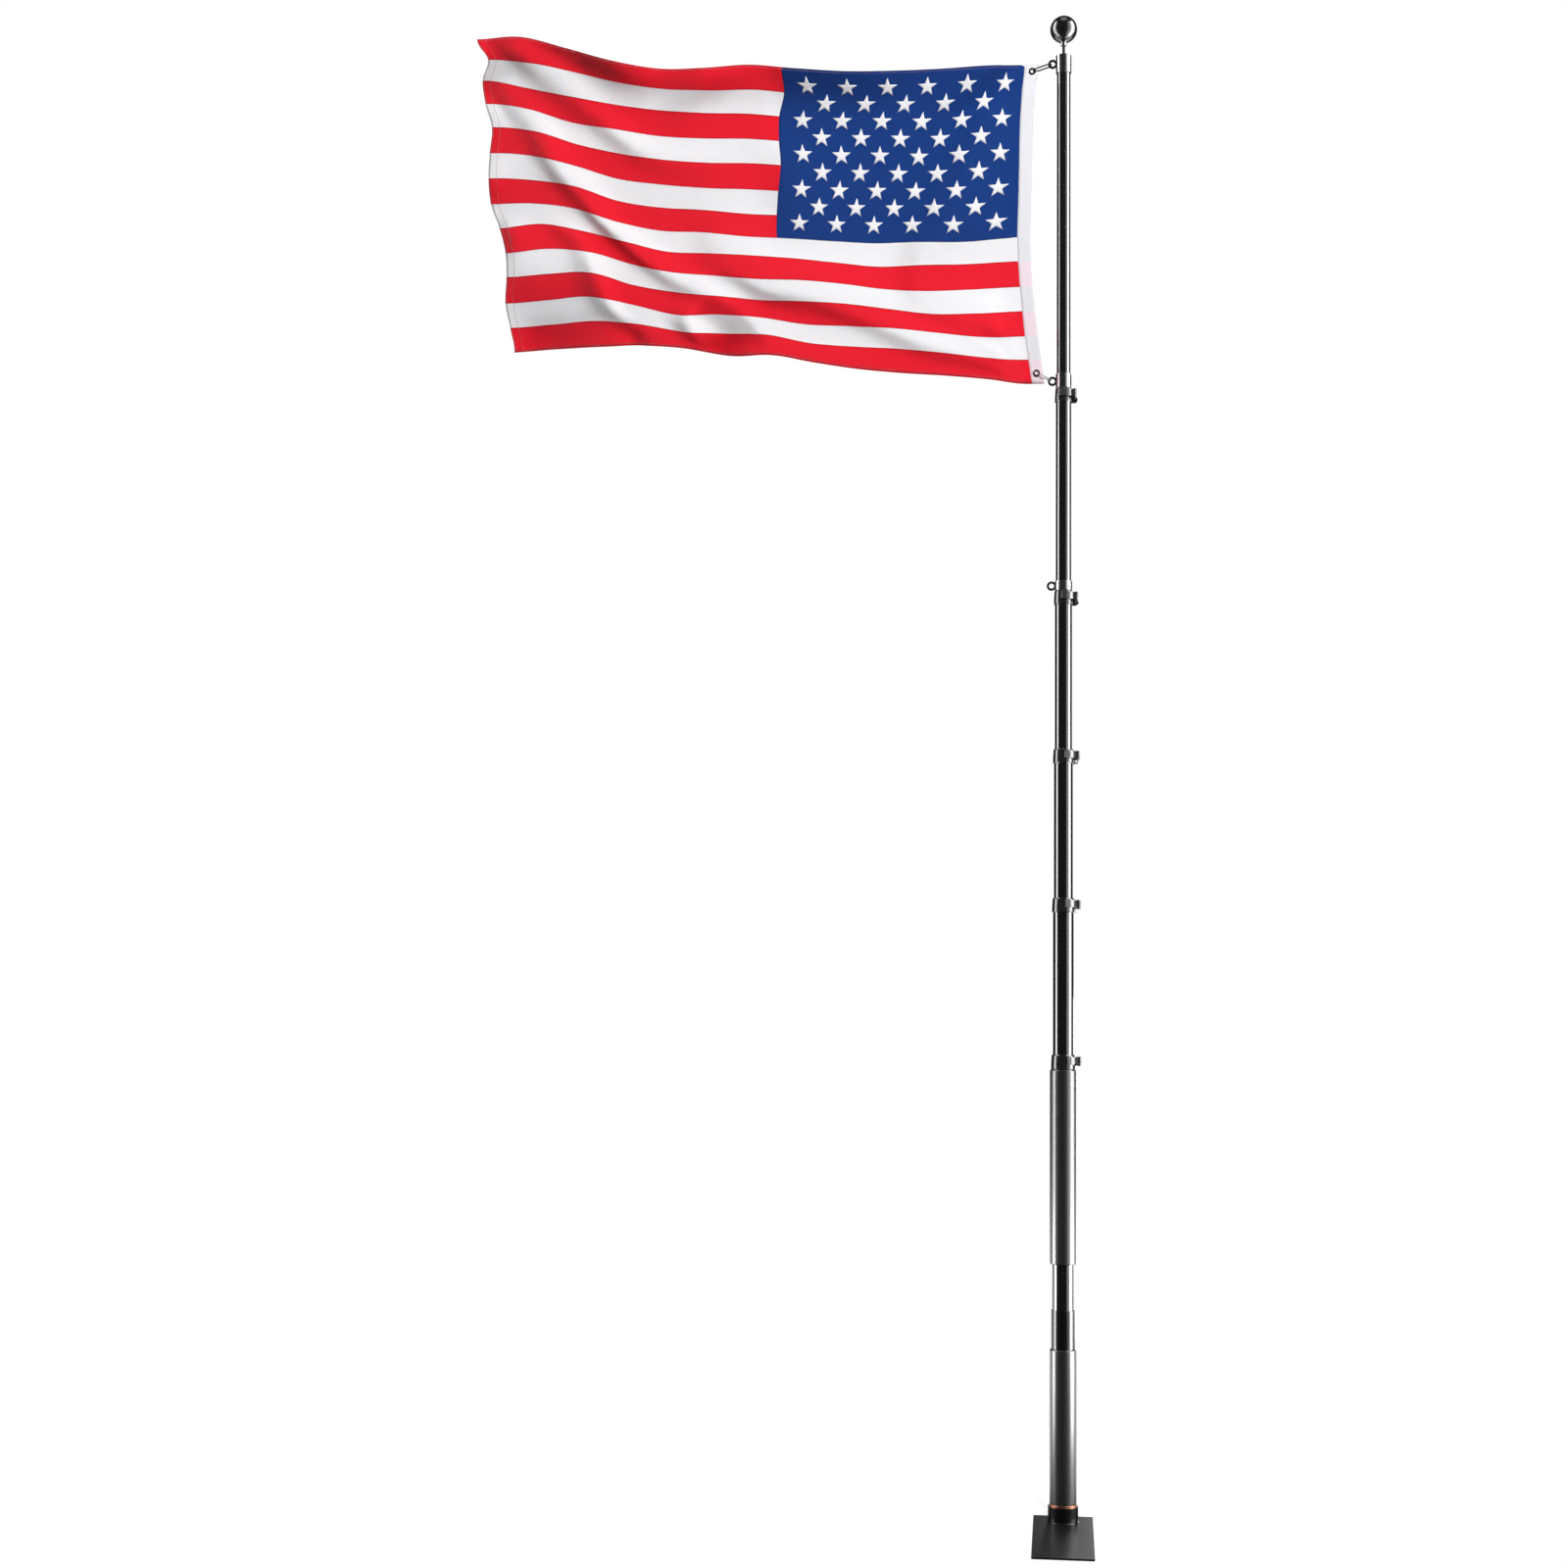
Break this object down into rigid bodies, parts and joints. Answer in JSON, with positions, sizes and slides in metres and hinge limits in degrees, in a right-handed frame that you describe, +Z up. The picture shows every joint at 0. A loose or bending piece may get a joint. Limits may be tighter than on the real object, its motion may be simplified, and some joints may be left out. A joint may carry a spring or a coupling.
{
  "type": "telescoping flagpole",
  "caption": "Telescoping flagpole on a flat ground plate, with flip clamps, swivelling flag rings, grip sleeves, a ball finial and a flying flag.",
  "frame": {"origin": "on the underside of the ground plate, on the pole's axis", "axes": "+Z up along the pole; the flag flies towards -X; the long end of the plate runs towards -Y"},
  "size_m": [1.7603, 0.485, 4.1734],
  "materials": {
    "plate_steel": "satin",
    "socket_black": "gloss",
    "copper_bush": "satin",
    "tube_black": "gloss",
    "grip_rubber": "matte",
    "band_black": "satin",
    "clamp_black": "gloss",
    "lever_black": "satin",
    "polished_steel": "polished",
    "plug_black": "satin",
    "stem_black": "gloss",
    "ball_black": "gloss",
    "hook_black": "satin",
    "hook_steel": "satin",
    "grommet_brass": "satin",
    "flag_fabric": "satin",
    "header_canvas": "matte"
  },
  "bodies": {
    "base": {"base_plate": "plate_steel", "socket": "socket_black", "socket_bush": "copper_bush", "tube_6": "tube_black", "lower_grip": "grip_rubber", "grip_band": "band_black", "upper_grip": "grip_rubber", "collar_5": "clamp_black", "bolt_5": "polished_steel", "pin_5": "hook_steel"},
    "section_5": {"tube_5": "tube_black", "collar_4": "clamp_black", "bolt_4": "polished_steel", "pin_4": "hook_steel"},
    "section_4": {"tube_4": "tube_black", "collar_3": "clamp_black", "bolt_3": "polished_steel", "pin_3": "hook_steel"},
    "section_3": {"tube_3": "tube_black", "collar_2": "clamp_black", "bolt_2": "polished_steel", "pin_2": "hook_steel"},
    "section_2": {"tube_2": "tube_black", "collar_1": "clamp_black", "bolt_1": "polished_steel", "pin_1": "hook_steel"},
    "section_1": {"tube_1": "tube_black", "top_plug": "plug_black", "stem": "stem_black", "stem_nut": "polished_steel", "ball": "ball_black"},
    "lever_5_body": {"lever_5": "lever_black"},
    "lever_4_body": {"lever_4": "lever_black"},
    "lever_3_body": {"lever_3": "lever_black"},
    "lever_2_body": {"lever_2": "lever_black"},
    "lever_1_body": {"lever_1": "lever_black"},
    "top_ring": {"truck": "polished_steel", "top_hook": "hook_black", "flag_cloth": "flag_fabric", "flag_header": "header_canvas", "top_grommet": "grommet_brass"},
    "lower_ring_body": {"lower_ring": "polished_steel", "lower_hook": "hook_steel", "lower_grommet": "grommet_brass"},
    "spare_ring_body": {"spare_ring": "polished_steel"}
  },
  "joints": [
    {"name": "section_5_slide", "type": "slide", "parent": "base", "child": "section_5", "axis": [0, 0, 1], "range_m": [-0.38, 0]},
    {"name": "section_4_slide", "type": "slide", "parent": "section_5", "child": "section_4", "axis": [0, 0, 1], "range_m": [-0.36, 0]},
    {"name": "section_3_slide", "type": "slide", "parent": "section_4", "child": "section_3", "axis": [0, 0, 1], "range_m": [-0.39, 0]},
    {"name": "section_2_slide", "type": "slide", "parent": "section_3", "child": "section_2", "axis": [0, 0, 1], "range_m": [-0.49, 0]},
    {"name": "section_1_slide", "type": "slide", "parent": "section_2", "child": "section_1", "axis": [0, 0, 1], "range_m": [-0.835, 0], "deforming": ["flag_cloth", "flag_header"]},
    {"name": "lever_5_flip", "type": "hinge", "parent": "base", "child": "lever_5_body", "pos_m": [0.04371, 0.00692, 1.2345], "axis": [0, 0, 1], "range_deg": [0, 120]},
    {"name": "lever_4_flip", "type": "hinge", "parent": "section_5", "child": "lever_4_body", "pos_m": [0.04199, 0.00073, 1.6615], "axis": [0, 0, 1], "range_deg": [0, 120]},
    {"name": "lever_3_flip", "type": "hinge", "parent": "section_4", "child": "lever_3_body", "pos_m": [0.03973, -0.00139, 2.0715], "axis": [0, 0, 1], "range_deg": [0, 120]},
    {"name": "lever_2_flip", "type": "hinge", "parent": "section_3", "child": "lever_2_body", "pos_m": [0.03524, -0.01283, 2.5125], "axis": [0, 0, 1], "range_deg": [0, 120]},
    {"name": "lever_1_flip", "type": "hinge", "parent": "section_2", "child": "lever_1_body", "pos_m": [0.03053, -0.01762, 3.0825], "axis": [0, 0, 1], "range_deg": [0, 120]},
    {"name": "top_ring_turn", "type": "hinge", "parent": "section_1", "child": "top_ring", "pos_m": [0, 0, 4.002], "axis": [0, 0, 1], "continuous": true},
    {"name": "lower_ring_turn", "type": "hinge", "parent": "section_2", "child": "lower_ring_body", "pos_m": [0, 0, 3.0985], "axis": [0, 0, 1], "continuous": true},
    {"name": "spare_ring_turn", "type": "hinge", "parent": "section_3", "child": "spare_ring_body", "pos_m": [0, 0, 2.5285], "axis": [0, 0, 1], "continuous": true}
  ],
  "couplings": [
    {"joint": "lower_ring_turn", "follows": "top_ring_turn", "ratio": 1}
  ]
}
